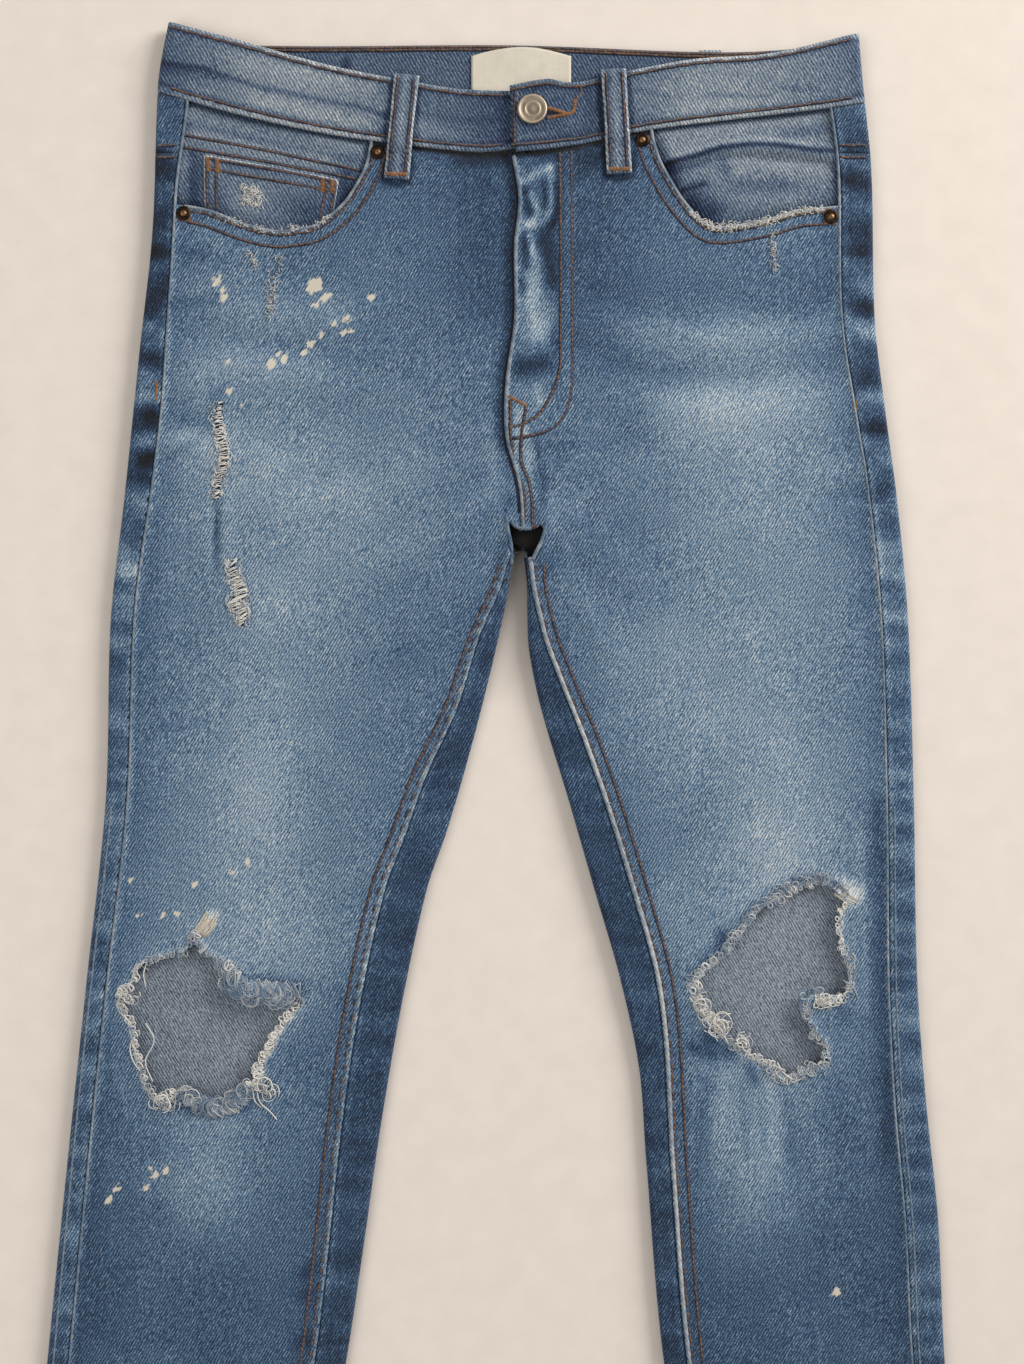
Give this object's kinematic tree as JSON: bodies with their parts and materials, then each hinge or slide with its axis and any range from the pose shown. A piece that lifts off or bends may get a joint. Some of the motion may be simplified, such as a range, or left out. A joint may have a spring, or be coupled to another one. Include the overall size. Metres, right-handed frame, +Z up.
{
  "type": "ripped jeans",
  "caption": "Ripped skinny jeans laid flat on their back, buttoned and zipped, with open rips over both knees.",
  "frame": {"origin": "middle of the garment's box, on the surface it lies on", "axes": "+Y from the hems to the waist, +Z up from the surface through the back to the front; -X is the wearer's right"},
  "size_m": [0.558, 1.0544, 0.013],
  "materials": {
    "denim": "washed mid-blue stretch denim",
    "denim_worn": "the same denim, worn paler",
    "denim_dark": "the same denim, less worn",
    "label_cotton": "unbleached cotton tape, blank",
    "antique_brass": "darkened",
    "nickel": "warm, softly worn"
  },
  "bodies": {
    "root": {"front_right": "denim", "front_left": "denim", "back_right": "denim_dark", "back_left": "denim_dark", "yoke_right": "denim_dark", "yoke_left": "denim_dark", "back_pocket_right": "denim", "back_pocket_left": "denim", "pocket_facing_right": "denim_worn", "pocket_facing_left": "denim_worn", "coin_pocket": "denim", "waistband": "denim_worn", "belt_loop_front_right": "denim_worn", "belt_loop_front_left": "denim_worn", "belt_loop_back_right": "denim_worn", "belt_loop_back_centre": "denim_worn", "belt_loop_back_left": "denim_worn", "waist_label": "label_cotton", "fly_zip": "antique_brass", "rivet_right_inner": "antique_brass", "rivet_right_outer": "antique_brass", "rivet_left_inner": "antique_brass", "rivet_left_outer": "antique_brass", "waist_button": "nickel"}
  },
  "joints": []
}
